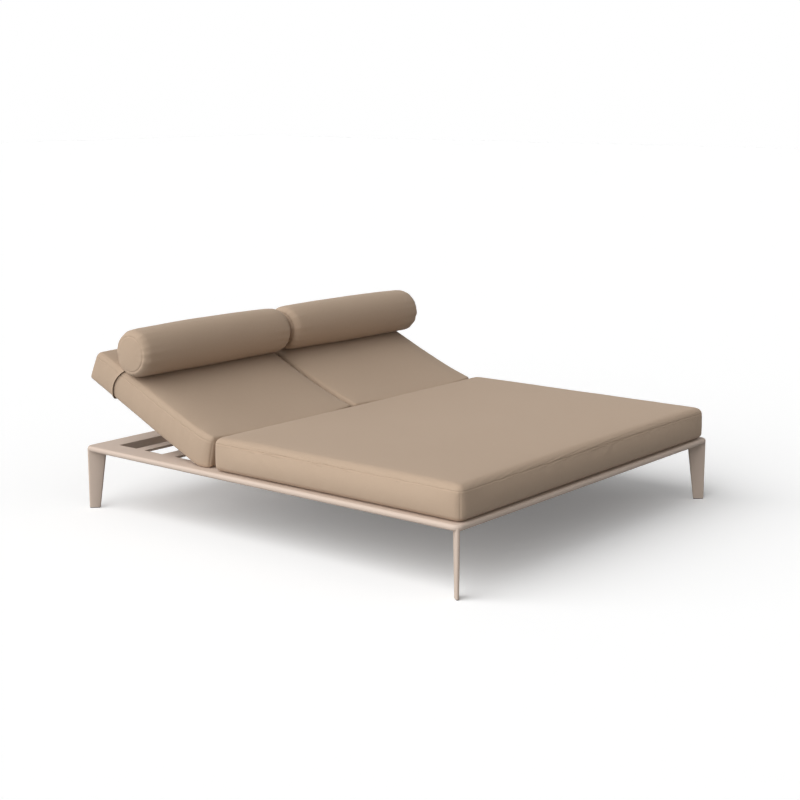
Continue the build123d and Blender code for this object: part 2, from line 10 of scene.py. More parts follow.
import bmesh
import bpy
from mathutils import Matrix, Vector, noise
from mathutils.bvhtree import BVHTree
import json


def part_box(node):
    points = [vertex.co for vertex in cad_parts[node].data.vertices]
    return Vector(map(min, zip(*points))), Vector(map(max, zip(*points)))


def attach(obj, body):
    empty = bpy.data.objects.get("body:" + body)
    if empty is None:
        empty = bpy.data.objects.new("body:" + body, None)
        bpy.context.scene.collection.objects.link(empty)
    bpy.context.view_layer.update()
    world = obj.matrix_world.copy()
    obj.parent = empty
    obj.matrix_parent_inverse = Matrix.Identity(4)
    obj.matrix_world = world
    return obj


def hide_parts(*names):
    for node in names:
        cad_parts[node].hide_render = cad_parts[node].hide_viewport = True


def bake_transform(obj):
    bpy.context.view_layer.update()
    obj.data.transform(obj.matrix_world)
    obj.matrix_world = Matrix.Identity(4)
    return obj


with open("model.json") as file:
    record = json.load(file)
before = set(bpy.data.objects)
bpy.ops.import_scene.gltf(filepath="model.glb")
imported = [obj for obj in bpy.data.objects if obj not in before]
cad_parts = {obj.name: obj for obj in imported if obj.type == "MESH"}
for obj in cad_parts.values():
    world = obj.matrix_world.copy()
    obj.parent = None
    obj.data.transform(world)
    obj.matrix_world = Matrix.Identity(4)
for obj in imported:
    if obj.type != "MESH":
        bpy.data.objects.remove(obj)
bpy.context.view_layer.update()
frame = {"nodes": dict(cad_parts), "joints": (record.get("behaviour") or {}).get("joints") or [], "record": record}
millimetre = 0.001
print("nodes:", len(frame["nodes"]))

# %% [markdown]
# ## The sizes that the cloth follows
# The cushions lie where the construction model has its plain solids. So the sizes are read from those
# solids, and the slope of the backs from the direction in which a headrest slips along its back.

# %% Read the sizes from the model
joints = {joint["name"]: joint for joint in frame["joints"]}
hinge_y, hinge_z = joints["back_left_recline"]["pos_m"][1:]
slope = atan2(*reversed(joints["headrest_left_slip"]["axis"][1:]))
frame_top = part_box("side_rail_left")[1].z
seat_low, seat_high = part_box("seat_cushion")
back_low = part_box("back_cushion_left")[0]
roll_low, roll_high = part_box("headrest_bolster_left")
print("backs raised by %.1f degrees, hinge at y %.3f, z %.3f" % (slope * 180 / pi, hinge_y, hinge_z))
print("seat cushion", [round(v, 3) for v in (seat_high - seat_low)])

# %% [markdown]
# ## A blank for a cushion
# A box cushion is cut as a top, a bottom and a band, with soft corners. A cube with a bevel would do, but its
# faces would be long strips that cannot wrinkle. So the blank is a box of small cells, closer together near
# the edges, and every point near an edge is pulled onto a quarter ellipse. That gives each edge its own
# radius and leaves even cells for the cloth to move.

# %% Cells of a box, closer together near its edges
rim_shares = (0, 0.36, 0.7)


def cell_places(length, edge, cell):
    """Places along one side of a box: a few within each rounded edge, the rest about a cell apart"""
    rim = [edge * share for share in rim_shares]
    count = max(2, round((length - 2 * edge) / cell))
    middle = [edge + (length - 2 * edge) * i / count for i in range(count + 1)]
    return rim + middle + [length - place for place in reversed(rim)]


def box_cells(counts):
    """Grid points and outward faces of the skin of a box with that many cells along each side"""
    points = {}
    faces = []
    for axis, first, second in ((0, 1, 2), (1, 2, 0), (2, 0, 1)):
        for side in (0, counts[axis]):
            for p in range(counts[first]):
                for q in range(counts[second]):
                    corners = []
                    for dp, dq in ((0, 0), (1, 0), (1, 1), (0, 1)):
                        place = [0, 0, 0]
                        place[axis] = side
                        place[first] = p + dp
                        place[second] = q + dq
                        corners.append(points.setdefault(tuple(place), len(points)))
                    faces.append(corners if side else corners[::-1])
    return list(points), faces


# %% A rounded, crowned blank
corner_power = 8
crown_power = 3


def linked(name, data):
    """A new object in the scene, made of this mesh, lamp or camera"""
    piece = bpy.data.objects.new(name, data)
    bpy.context.scene.collection.objects.link(piece)
    return piece


def cushion_blank(name, size, rounds, bottom_round, crown, shoulder, band, belly, cell, draw_in):
    """A closed block from the origin to size: rounded edges, a crowned top, a full band, sides drawn in"""
    places = [cell_places(size[axis], rounds[axis], cell) for axis in range(3)]
    grid, faces = box_cells([len(places[axis]) - 1 for axis in range(3)])
    verts = []
    for steps in grid:
        point = Vector([places[axis][steps[axis]] for axis in range(3)])
        radii = Vector(rounds)
        if point.z < size[2] / 2:
            radii.z = bottom_round
        core = Vector([min(max(point[axis], radii[axis]), size[axis] - radii[axis]) for axis in range(3)])
        reach = Vector([(point[axis] - core[axis]) / radii[axis] for axis in range(3)])
        if point.z < size[2] / 2 and point.z > bottom_round:
            reach.z = 0
        if reach.length > 1:
            reach.normalize()
        spot = core + Vector([reach[axis] * radii[axis] for axis in range(3)])
        across = spot.x / size[0] * 2 - 1
        along = spot.y / size[1] * 2 - 1
        inside = [max(0, min(spot[axis], size[axis] - spot[axis])) for axis in range(2)]
        dome = (1 - exp(-inside[0] / shoulder)) * (1 - exp(-inside[1] / shoulder))
        spot.z += crown * dome * max(0, spot.z / size[2]) ** crown_power
        if spot.z < band:
            full = belly * (1 - (2 * spot.z / band - 1) ** 2)
            spot.x += reach.x * full * (1 - abs(along) ** corner_power)
            spot.y += reach.y * full * (1 - abs(across) ** corner_power)
        spot.x -= draw_in * across * (1 - along ** 2)
        spot.y -= draw_in * along * (1 - across ** 2)
        verts.append(spot)
    mesh = bpy.data.meshes.new(name)
    mesh.from_pydata(verts, [], faces)
    return linked(name, mesh)


# %% [markdown]
# ## Filling a cushion
# Foam presses its cover outwards, and the cover gives most in the middle of a panel and least beside a seam.
# Sculpting that by hand is slow and looks too even. Here the blank becomes cloth for twenty frames and is
# blown up like a balloon, while its underside, or on a bolster its sewn rings, are held. A balloon would go
# on to a sphere, so its moves are scaled down until the largest is as large as the foam allows.

# %% Blow a blank up as cloth
filling_frames = 20
filling_pressure = 4.0


def inflate(piece, held_points, caps):
    """Blow the piece up from inside; along each axis, the moves are scaled down to a largest one"""
    start = [vert.co.copy() for vert in piece.data.vertices]
    held = piece.vertex_groups.new(name="held")
    held.add(held_points, 1.0, "REPLACE")
    cloth = piece.modifiers.new("filling", "CLOTH")
    settings = cloth.settings
    settings.quality = 6
    settings.mass = 0.3
    settings.tension_stiffness = 40
    settings.compression_stiffness = 40
    settings.shear_stiffness = 15
    settings.bending_stiffness = 2
    settings.use_pressure = True
    settings.uniform_pressure_force = filling_pressure
    settings.effector_weights.gravity = 0
    settings.vertex_group_mass = "held"
    for number in range(1, filling_frames + 1):
        bpy.context.scene.frame_set(number)
    blown = piece.evaluated_get(bpy.context.evaluated_depsgraph_get())
    moves = [last.co - first for last, first in zip(blown.data.vertices, start)]
    piece.modifiers.remove(cloth)
    piece.vertex_groups.remove(held)
    bpy.context.scene.frame_set(1)
    largest = [max(abs(move[axis]) for move in moves) for axis in range(3)]
    shares = [min(1, cap / most) for cap, most in zip(caps, largest)]
    for vert, first, move in zip(piece.data.vertices, start, moves):
        vert.co = first + Vector([part * share for part, share in zip(move, shares)])
    print("%s: %d points, largest move %.1f mm" % (piece.name, len(start),
                                                   max(move.length for move in moves) / millimetre))


def keep_modified(piece):
    """Keep the shape that the piece's modifiers give it as its mesh"""
    finished = piece.evaluated_get(bpy.context.evaluated_depsgraph_get())
    mesh = bpy.data.meshes.new_from_object(finished)
    piece.modifiers.clear()
    piece.data = mesh


def subdivide(piece):
    """Smooth the piece by one level of subdivision"""
    piece.modifiers.new("smooth", "SUBSURF").levels = 1
    keep_modified(piece)


# %% [markdown]
# ## Sewing
# A seam is a line where two panels turn inwards together, so it reads as a narrow groove between two soft
# lips. It could be painted as bump, but a silhouette and a low light need real depth. So the mesh is cut
# along a few parallel planes beside the seam, and the new lines are pushed in or out by a rounded profile.

# %% Cut lines and press them in
def cut_lines(shell, spot, direction, offsets, chosen):
    """Cut the chosen faces along planes beside a spot, one for each offset"""
    for offset in offsets:
        faces = [face for face in shell.faces if chosen(face.calc_center_median())]
        around = set(edge for face in faces for edge in face.edges)
        points = set(vert for face in faces for vert in face.verts)
        bmesh.ops.bisect_plane(shell, geom=faces + list(around) + list(points), dist=millimetre / 100,
                               plane_co=Vector(spot) + Vector(direction) * offset, plane_no=direction)


lip_place = 2.6
lip_width = 1.4
lip_height = 0.22


def groove(distance, depth, width):
    """How far the cloth stands off beside a seam: pressed in along it, a little full on both sides"""
    near = exp(-(distance / width) ** 2)
    lip = exp(-((abs(distance) - lip_place * width) / (lip_width * width)) ** 2)
    return -depth * near + lip_height * depth * lip


seam_depth = 1.0 * millimetre
seam_width = 2.2 * millimetre
seam_offsets = [seam_width * step for step in (-4, -2, -0.8, 0, 0.8, 2, 4)]
seam_strip = 25 * millimetre
corner_share = 1.6
upright_gain = 1.5


# %% Sew a cushion: one seam round its band, and one down each corner
def plan_corners(size, corner_round):
    """The four corners in plan, each with the direction across its seam and how far the corner reaches"""
    corners = []
    for x in (0, size[0]):
        for y in (0, size[1]):
            inward = Vector((1 if x == 0 else -1, 1 if y == 0 else -1, 0)).normalized()
            across = Vector((-inward.y, inward.x, 0))
            corners.append((Vector((x, y, 0)), across, corner_share * corner_round))
    return corners


def cut_seams(piece, size, seam_height, corner_round):
    """Cut the lines beside the seam round the cushion and beside the four corner seams"""
    shell = bmesh.new()
    shell.from_mesh(piece.data)
    band = seam_offsets[-1] + seam_strip
    cut_lines(shell, (0, 0, seam_height), (0, 0, 1), seam_offsets,
              lambda spot: abs(spot.z - seam_height) < band)
    for corner, across, reach in plan_corners(size, corner_round):
        cut_lines(shell, corner, across, seam_offsets[1:-1],
                  lambda spot: (spot.xy - corner.xy).length < reach and spot.z < seam_height)
    shell.to_mesh(piece.data)
    shell.free()


def press_seams(piece, size, seam_height, corner_round):
    """Push the cloth in along the seams, and a little out beside them"""
    corners = plan_corners(size, corner_round)
    fade_length = 4 * seam_width
    normals = [vert.normal.copy() for vert in piece.data.vertices]
    for vert, normal in zip(piece.data.vertices, normals):
        spot = vert.co.copy()
        upright = min(1, normal.xy.length * upright_gain)
        amount = groove(spot.z - seam_height, seam_depth, seam_width) * upright
        for corner, across, reach in corners:
            if (spot.xy - corner.xy).length < reach and spot.z < seam_height:
                fade = min(1, (seam_height - spot.z) / fade_length) * min(1, spot.z / fade_length)
                amount += groove((spot - corner).dot(across), seam_depth, seam_width) * fade * upright
        vert.co = spot + normal * amount


# %% [markdown]
# Sewn cloth is never quite even: thread draws the band up in small puckers, and a panel lies in slow waves.
# Both are noise, but a pucker is long across the seam and short along it, so the noise is stretched that way.

# %% Puckers and slow waves
pucker_counts = (34, 5, 0)
fine_counts = (80, 9, 0)
fine_share = 0.5
pucker_rest = 0.25
pucker_reach = 0.050
rim_counts = (19, 19, 0)
rim_reach = 0.045
wave_counts = (3.1, 3.1, 0)
small_counts = (9, 7, 0)
small_share = 0.4
side_calm = 0.6
still_height = 6 * millimetre
free_height = 20 * millimetre


def ripple(spot, counts, seed):
    """Smooth noise with that many waves in a metre along each axis"""
    return noise.noise(Vector([part * count for part, count in zip(spot, counts)]) + Vector((0, 0, seed)))


def rumple(piece, size, seam_height, pucker, wave, seed):
    """Move the points along their normals: puckers that fade away from the seam, and slow waves"""
    normals = [vert.normal.copy() for vert in piece.data.vertices]
    for vert, normal in zip(piece.data.vertices, normals):
        spot = vert.co.copy()
        upright = normal.xy.length
        run = (spot.x * abs(normal.y) + spot.y * abs(normal.x), spot.z, 0)
        drawn = ripple(run, pucker_counts, seed) + fine_share * ripple(run, fine_counts, seed)
        drawn *= upright * (pucker_rest + exp(-max(0, seam_height - spot.z) / pucker_reach))
        inside = min(spot.x, size[0] - spot.x, spot.y, size[1] - spot.y)
        drawn += ripple(spot, rim_counts, seed + 3) * exp(-inside / rim_reach) * (1 - upright)
        slow = ripple(spot, wave_counts, seed + 7) + small_share * ripple(spot, small_counts, seed)
        free = min(1, max(0, spot.z - still_height) / free_height)
        vert.co = spot + normal * free * (pucker * drawn + wave * slow * (1 - side_calm * upright))


# %% [markdown]
# A weave should run with the threads, so each panel gets flat coordinates in metres while the cushion is
# still straight: the top as seen from above, each side as seen from beside. They are kept as a UV map, which
# stays with the mesh when the cushion is bent.

# %% Thread coordinates
def lay_threads(piece):
    """Give every face flat coordinates in metres, along the two directions that it faces least"""
    mesh = piece.data
    threads = mesh.uv_layers.new(name="threads")
    for face in mesh.polygons:
        facing = [abs(part) for part in face.normal]
        if facing[2] >= max(facing[:2]):
            first, second = 0, 1
        elif facing[0] >= facing[1]:
            first, second = 1, 2
        else:
            first, second = 0, 2
        for corner in face.loop_indices:
            spot = mesh.vertices[mesh.loops[corner].vertex_index].co
            threads.data[corner].uv = (spot[first], spot[second])


def shade_smooth(piece):
    """Let the light run softly over the edges between the piece's faces"""
    for face in piece.data.polygons:
        face.use_smooth = True


# %% [markdown]
# ## The seat cushion
# One cushion as wide as the frame, lying flat on the slats. Its band is a hand's height, its top a low crown.

# %% Make the seat cushion
shoulder = 50 * millimetre
foam_rise = 2 * millimetre
rest_gap = 0.3 * millimetre
contact_gap = 0.3 * millimetre
pucker = 1.5 * millimetre
wave = 1.3 * millimetre


def box_cushion(name, size, edge, rounds, under_round, seam_height, belly, cell, swell, seed):
    """A filled and sewn box cushion, straight, from the origin to size; its edges stand at that height"""
    piece = cushion_blank(name, (size.x, size.y, edge), rounds, under_round, size.z - edge - foam_rise,
                          shoulder, seam_height, belly, cell, swell)
    underside = [i for i, vert in enumerate(piece.data.vertices) if vert.co.z < millimetre]
    inflate(piece, underside, (swell, swell, foam_rise))
    cut_seams(piece, size, seam_height, rounds[0])
    subdivide(piece)
    lay_threads(piece)
    press_seams(piece, size, seam_height, rounds[0])
    rumple(piece, size, seam_height, pucker, wave, seed)
    return piece


seat_edge = 0.136
seat_top = 0.146
seat_seam = 0.114
seat_rounds = (34 * millimetre, 34 * millimetre, 26 * millimetre)
seat_under_round = 22 * millimetre
seat_belly = 14 * millimetre
seat_cell = 17 * millimetre
seat_swell = 4 * millimetre
seat_seed = 1
seat_full = 3 * millimetre
seat_size = Vector((seat_high.x - seat_low.x + 2 * seat_full, seat_high.y - seat_low.y + seat_full, seat_top))
seat = box_cushion("seat_cushion_cover", seat_size, seat_edge, seat_rounds, seat_under_round, seat_seam,
                   seat_belly, seat_cell, seat_swell, seat_seed)
seat_corner = Vector((seat_low.x - seat_full, seat_low.y - seat_full, frame_top + rest_gap))
seat.data.transform(Matrix.Translation(seat_corner))
shade_smooth(seat)
print("seat cushion:", len(seat.data.polygons), "faces")

# %% [markdown]
# ## The back cushions
# Each back cushion is cut as a box too, but it lies in a bend: its foot rests flat on the rail in front of
# the hinge, and the rest leans on the raised back. It could be modelled bent from the start, but then the
# seams and the threads would have to be bent by hand as well. So it is filled and sewn straight, and its
# length is then laid along two lines: one under it and one over it.

# %% The line under a back cushion and the line over it
back_edge = 0.131
back_seam = 0.111
back_crown = 0.012
cushion_lift = 0.0279
foot_y = seat_high.y + 0.040
nose_y = seat_high.y + 0.014
nose_height = 0.130
bend_softness = 0.008
rest_line = hinge_z + cushion_lift / cos(slope) - hinge_y * tan(slope)
bend_y = (frame_top - rest_line) / tan(slope)
back_length = 0.676
head_foot = Vector((0, hinge_y + back_length * cos(slope) - cushion_lift * sin(slope),
                    hinge_z + back_length * sin(slope) + cushion_lift * cos(slope)))
along_back = Vector((0, cos(slope), sin(slope)))
off_back = Vector((0, -sin(slope), cos(slope)))
head_top = head_foot + off_back * back_edge


def under_line(share):
    """A place along the underside: flat on the rail, then up along the back"""
    flat = bend_y - foot_y
    climb = (head_foot.y - bend_y) / cos(slope)
    run = share * (flat + climb)
    y = foot_y + min(run, flat) + max(0, run - flat) * cos(slope)
    rise = bend_softness * log(1 + exp((y - bend_y) / bend_softness))
    return Vector((0, y, frame_top + rest_gap + tan(slope) * rise))


def over_line(share):
    """A place along the upper edge, from the nose to the head end"""
    nose = Vector((0, nose_y, frame_top + nose_height))
    return nose.lerp(head_top, share)


print("the back cushion leaves the rail at y %.3f and ends at y %.3f" % (bend_y, head_foot.y))

# %% [markdown]
# Foam bulges on the inside of a bend, so the foot of the cushion swells into a nose towards the seat, and its
# top sags a little behind that. The long sides droop, and the corners of the foot are tucked in. The foam
# can't press into the seat cushion in front or into the metal frame below. A second cloth simulation
# could find both contacts, but it is slow and hard to steer. So the points that would lie inside are moved
# out to the face of the seat, or up over the frame. Under the hood the cushion keeps away from the middle of
# the lounger, so that the hood has room there.

# %% Keep a cushion out of the seat and off the frame
inner_side = 4 * millimetre
frame_side = inner_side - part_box("back_outer_member_left")[0].x
hang_reach = 3 * millimetre
contact_reach = 0.050


def press_against(piece, other, gap):
    """Move every point of the piece that would lie inside the other one out to its face"""
    surface = BVHTree.FromObject(other, bpy.context.evaluated_depsgraph_get())
    for vert in piece.data.vertices:
        spot, facing = surface.find_nearest(vert.co, contact_reach)[:2]
        if spot is not None and (vert.co - spot).dot(facing) < gap:
            vert.co = spot + facing * gap


def over_frame(spot, lowest):
    """A point, raised to its lowest height over the back's frame; beside the frame it may hang lower"""
    height = (spot - head_foot).dot(off_back)
    beside = max(0, abs(spot.x) - frame_side)
    return spot + off_back * max(0, lowest - height) * exp(-beside / hang_reach)


# %% Make one back cushion, and lay it along its lines
back_rounds = (17 * millimetre, 14 * millimetre, 25 * millimetre)
back_under_round = 14 * millimetre
back_belly = 7 * millimetre
back_cell = 14 * millimetre
back_swell = 3 * millimetre
back_seed = 11
nose_fullness = 0.034
nose_rise = -0.010
nose_power = 6
nose_side_power = 3
sag = 0.014
sag_share = 0.24
corner_tuck = 0.012
corner_tuck_power = 9
tuck_reach = 0.050
side_droop = 0.007
droop_reach = 0.080
middle_gap = 0.4 * millimetre
hood_gap = 2.4 * millimetre
hood_share = 0.64
hood_blend = 0.08
cover_gap = 0.4 * millimetre


def back_cushion(side):
    """The cushion of one back; side is -1 on the left and 1 on the right"""
    name = "back_cushion_cover_" + ("left" if side < 0 else "right")
    under = bend_y - foot_y + (head_foot.y - bend_y) / cos(slope)
    over = (over_line(1) - over_line(0)).length
    size = Vector((-inner_side - back_low.x, (under + over) / 2, back_edge + back_crown))
    piece = box_cushion(name, size, back_edge, back_rounds, back_under_round, back_seam, back_belly,
                        back_cell, back_swell, back_seed + side)
    start_x = back_low.x if side < 0 else inner_side
    for vert in piece.data.vertices:
        share = vert.co.y / size.y
        rise = vert.co.z / back_edge
        across = 2 * vert.co.x / size.x - 1
        low = under_line(share)
        spot = low + (over_line(share) - low) * rise
        nose = rise * max(0, 1 - share) ** nose_power * max(0, 1 - abs(across) ** nose_side_power)
        sunk = sag * rise * share / sag_share * exp(1 - share / sag_share)
        tuck = corner_tuck * max(0, 1 - vert.co.y / tuck_reach) ** 2 * across ** corner_tuck_power
        beside = max(0, min(vert.co.x, size.x - vert.co.x))
        droop = side_droop * min(1, max(0, 3 * share - 0.3)) * exp(-beside / droop_reach)
        x = start_x + vert.co.x - tuck
        covered = min(1, max(0, (share - hood_share) / hood_blend))
        x = side * max(middle_gap + (hood_gap + cover_gap) * covered, side * x)
        vert.co = Vector((x, spot.y - nose_fullness * nose, spot.z + nose_rise * nose))
        vert.co = over_frame(vert.co - off_back * (droop + sunk), rest_gap)
    press_against(piece, seat, contact_gap)
    shade_smooth(piece)
    print(name, len(piece.data.polygons), "faces")
    return piece


backs = {"left": back_cushion(-1), "right": back_cushion(1)}

# %% [markdown]
# ## The hoods
# A hood is a short sleeve of the same cloth, closed at the head end, that slips over the cushion and carries
# the bolster. Drawn on its own it would never fit the filled cushion. So it is cut from a copy of the
# cushion: a slanting plane takes the head end, the copy is moved out a little, and the hem is flared, because
# the hood is a little wide at its mouth. Below, the cloth lies flat between the cushion and the back's frame,
# and at the middle of the lounger it stops short of the other hood. Last it gets the thickness of the cloth.

# %% Cut a hood from its cushion
hood_cloth = 1.6 * millimetre
hood_below = 2.3 * millimetre
hood_depth_below = 0.170
hood_depth_above = 0.178
hem_width = 14 * millimetre
hem_strip = 3 * hem_width
hem_offsets = [hem_width * share for share in (0.12, 0.3, 0.6, 0.85, 1.0, 1.15, 1.5)]
hem_flare = 5.5 * millimetre
hem_bow = 20 * millimetre
stitch_depth = 1.0 * millimetre
stitch_width = 1.6 * millimetre
facing_down = -0.5
flare_below = 0.35
flare_reach = 20 * millimetre
hem_low = head_foot - along_back * hood_depth_below
hem_high = head_foot + off_back * (back_edge + back_crown) - along_back * hood_depth_above
hem_normal = Vector((1, 0, 0)).cross(hem_high - hem_low).normalized()
if hem_normal.y < 0:
    hem_normal = -hem_normal


def hood(side_name):
    """The hood over the head end of one back cushion"""
    shell = bmesh.new()
    shell.from_mesh(backs[side_name].data)
    everything = shell.verts[:] + shell.edges[:] + shell.faces[:]
    bmesh.ops.bisect_plane(shell, geom=everything, dist=millimetre / 100, plane_co=hem_low,
                           plane_no=hem_normal, clear_inner=True)
    for offset in hem_offsets:
        near = [face for face in shell.faces
                if (face.calc_center_median() - hem_low).dot(hem_normal) < hem_strip]
        geometry = near + list({edge for face in near for edge in face.edges})
        geometry += list({vert for face in near for vert in face.verts})
        bmesh.ops.bisect_plane(shell, geom=geometry, dist=millimetre / 100,
                               plane_co=hem_low + hem_normal * offset, plane_no=hem_normal)
    shell.normal_update()
    moves = []
    for vert in shell.verts:
        depth = (vert.co - hem_low).dot(hem_normal)
        height = (vert.co - hem_low).dot(off_back) / back_edge
        flare = hem_flare * exp(-(depth / hem_width) ** 2)
        stitch = groove(depth - hem_width, stitch_depth, stitch_width)
        if vert.normal.dot(off_back) < facing_down:
            beside = min(abs(vert.co.x) - inner_side, -back_low.x - abs(vert.co.x))
            flare *= flare_below + (1 - flare_below) * exp(-max(0, beside) / flare_reach)
        bow = hem_bow * max(0, 1 - (2 * height - 1) ** 2) * exp(-depth / hem_strip)
        moves.append(vert.normal * (hood_gap + flare + stitch) + along_back * bow)
    side = -1 if side_name == "left" else 1
    for vert, move in zip(shell.verts, moves):
        vert.co = over_frame(vert.co + move, -hood_below)
        vert.co.x = side * max(middle_gap, side * vert.co.x)
    name = "headrest_hood_cloth_" + side_name
    mesh = bpy.data.meshes.new(name)
    shell.to_mesh(mesh)
    shell.free()
    piece = linked(name, mesh)
    wall = piece.modifiers.new("wall", "SOLIDIFY")
    wall.thickness = hood_cloth
    wall.offset = -1
    keep_modified(piece)
    for vert in piece.data.vertices:
        vert.co.x = side * max(middle_gap / 2, side * vert.co.x)
    shade_smooth(piece)
    print(name, len(piece.data.polygons), "faces")
    return piece


hoods = {side_name: hood(side_name) for side_name in backs}

# %% [markdown]
# ## The bolsters
# A bolster is a tube of cloth with a round disc sewn into each end, filled tight. Its skin is made as rings
# along its axis, closer together at the ends, where it turns over to the disc. It is filled as cloth like the
# cushions. A roll that is only laid down is never quite straight: its ends droop a little, and the right one
# lies slightly askew. Then it is laid on its hood: every point that would sink into the hood is lifted onto
# it, so that the underside flattens as a real roll does.

# %% Rings of a bolster
roll_full = 2 * millimetre
roll_radius = (roll_high.z - roll_low.z) / 2 + roll_full
roll_end_radius = 0.100
roll_disc_radius = 0.074
roll_turn = 0.044
turn_steps = 6
ring_points = 72
disc_shares = (0.14, 0.3, 0.46, 0.62, 0.76, 0.87, 0.94, 0.98, 1.0)
disc_dome = 6 * millimetre
disc_tip = 0.02


def roll_profile(half, cell):
    """Places along the axis and radii, from the middle of one end disc to the middle of the other"""
    disc = [(half + disc_dome * (1 - share ** 2), roll_disc_radius * share) for share in disc_shares]
    turn = []
    for step in range(1, turn_steps + 1):
        angle = step / turn_steps * pi / 2
        turn.append((half - roll_turn * (1 - cos(angle)),
                     roll_disc_radius + (roll_end_radius - roll_disc_radius) * sin(angle)))
    side = half - roll_turn
    count = round(side / cell)
    barrel = []
    for step in range(1, count + 1):
        place = side * (1 - step / count)
        barrel.append((place, roll_radius - (roll_radius - roll_end_radius) * (place / side) ** 2))
    one_end = disc + turn + barrel
    return one_end + [(-place, radius) for place, radius in reversed(one_end[:-1])]


def roll_skin(name, profile):
    """A closed mesh of rings about the X axis, with a fan at each end"""
    verts = [(profile[0][0] + disc_dome * disc_tip, 0, 0)]
    for place, radius in profile:
        for step in range(ring_points):
            angle = 2 * pi * step / ring_points
            verts.append((place, radius * cos(angle), radius * sin(angle)))
    verts.append((profile[-1][0] - disc_dome * disc_tip, 0, 0))
    faces = []
    last = len(verts) - 1
    for step in range(ring_points):
        following = (step + 1) % ring_points
        faces.append((0, 1 + step, 1 + following))
        for ring in range(len(profile) - 1):
            near = 1 + ring * ring_points
            far = near + ring_points
            faces.append((near + step, far + step, far + following, near + following))
        near = 1 + (len(profile) - 1) * ring_points
        faces.append((near + following, near + step, last))
    mesh = bpy.data.meshes.new(name)
    mesh.from_pydata(verts, [], faces)
    return linked(name, mesh)


# %% Lay a piece on another one
look_from = 0.2
look_down = 0.3


def lay_on(piece, carriers):
    """Lift every point of the piece that would sink into a carrier onto its face; returns how many"""
    depsgraph = bpy.context.evaluated_depsgraph_get()
    surfaces = [BVHTree.FromObject(carrier, depsgraph) for carrier in carriers]
    lifted = 0
    for vert in piece.data.vertices:
        above = vert.co + off_back * look_from
        hits = [surface.ray_cast(above, -off_back, look_down) for surface in surfaces]
        depths = [hit[3] for hit in hits if hit[0] is not None]
        if depths and min(depths) < look_from + contact_gap:
            vert.co = above - off_back * (min(depths) - contact_gap)
            lifted += 1
    return lifted


# %% Threads of a bolster: along it and round it on the barrel, flat on its discs
disc_facing = 0.8


def lay_roll_threads(piece):
    """Give every face of a bolster flat coordinates in metres"""
    threads = piece.data.uv_layers.new(name="threads")
    for face in piece.data.polygons:
        middle = face.center
        for corner in face.loop_indices:
            spot = piece.data.vertices[piece.data.loops[corner].vertex_index].co
            if abs(face.normal.x) > disc_facing:
                threads.data[corner].uv = (spot.y, spot.z)
            else:
                turn = atan2(spot.z, spot.y)
                if atan2(middle.z, middle.y) - turn > pi:
                    turn += 2 * pi
                elif turn - atan2(middle.z, middle.y) > pi:
                    turn -= 2 * pi
                threads.data[corner].uv = (spot.x, turn * roll_radius)


# %% Fill a bolster and lay it on its hood
roll_cell = 13 * millimetre
roll_swell = 3 * millimetre
roll_pucker_counts = (5, 5, 1)
roll_seed = 21
roll_wave_counts = (5, 9, 9)
roll_wave_seed = 31
disc_seam_depth = 1.8 * millimetre
disc_seam_width = 2.6 * millimetre
edge_depth = 1.1 * millimetre
edge_width = 6 * millimetre
edge_least = 0.6
edge_drawn = 0.8
disc_pucker = 2.2 * millimetre
disc_pucker_reach = 0.040
roll_bow = 0.6
roll_lean = {-1: 0, 1: 14 * millimetre}
roll_lift = 1.5 * millimetre
outer_reach = 8 * millimetre


def bolster(side):
    """The bolster of one headrest; side is -1 on the left and 1 on the right"""
    side_name = "left" if side < 0 else "right"
    half = ((roll_high - roll_low).x + outer_reach) / 2 - disc_dome
    profile = roll_profile(half, roll_cell)
    piece = roll_skin("headrest_bolster_cloth_" + side_name, profile)
    sewn = [i for i, vert in enumerate(piece.data.vertices)
            if abs(vert.co.yz.length - roll_disc_radius) < millimetre / 2]
    inflate(piece, sewn, (roll_swell, roll_swell, roll_swell))
    lay_roll_threads(piece)
    subdivide(piece)
    normals = [vert.normal.copy() for vert in piece.data.vertices]
    for vert, normal in zip(piece.data.vertices, normals):
        spot = vert.co.copy()
        radius = spot.yz.length
        end = half - abs(spot.x)
        beside = radius - roll_disc_radius if end < roll_turn else roll_turn
        turn = atan2(spot.z, spot.y)
        drawn = ripple((cos(turn), sin(turn), spot.x * 3), roll_pucker_counts, roll_seed + side)
        amount = groove(beside, disc_seam_depth, disc_seam_width)
        amount += groove(end - roll_turn, edge_depth, edge_width) * (edge_least + edge_drawn * drawn)
        drawn *= exp(-max(0, end - roll_turn) / disc_pucker_reach) * min(1, radius / roll_disc_radius) ** 4
        slow = ripple(spot, roll_wave_counts, roll_wave_seed + side)
        vert.co = spot + normal * (amount + disc_pucker * drawn + wave * slow)
    middle = (roll_low + roll_high) / 2
    for vert in piece.data.vertices:
        beside = half - abs(vert.co.x)
        vert.co -= off_back * side_droop * exp(-max(0, beside) / droop_reach) * roll_bow
        vert.co -= along_back * roll_lean[side] * (0.5 + side * vert.co.x / (2 * half))
    place = Vector((side * (abs(middle.x) + outer_reach / 2), middle.y, middle.z)) + off_back * roll_lift
    piece.data.transform(Matrix.Translation(place))
    lifted = lay_on(piece, (hoods[side_name], backs[side_name]))
    shade_smooth(piece)
    print(piece.name, len(piece.data.polygons), "faces,", lifted, "points rest on the hood")
    return piece


bolsters = {"left": bolster(-1), "right": bolster(1)}

# %% [markdown]
# ## Surfaces
# Every surface is worked out from the shape, with no pictures. What several materials share is a node group:
# it takes flat or solid coordinates in metres and gives heights and masks, which the material then feeds to
# its shader.

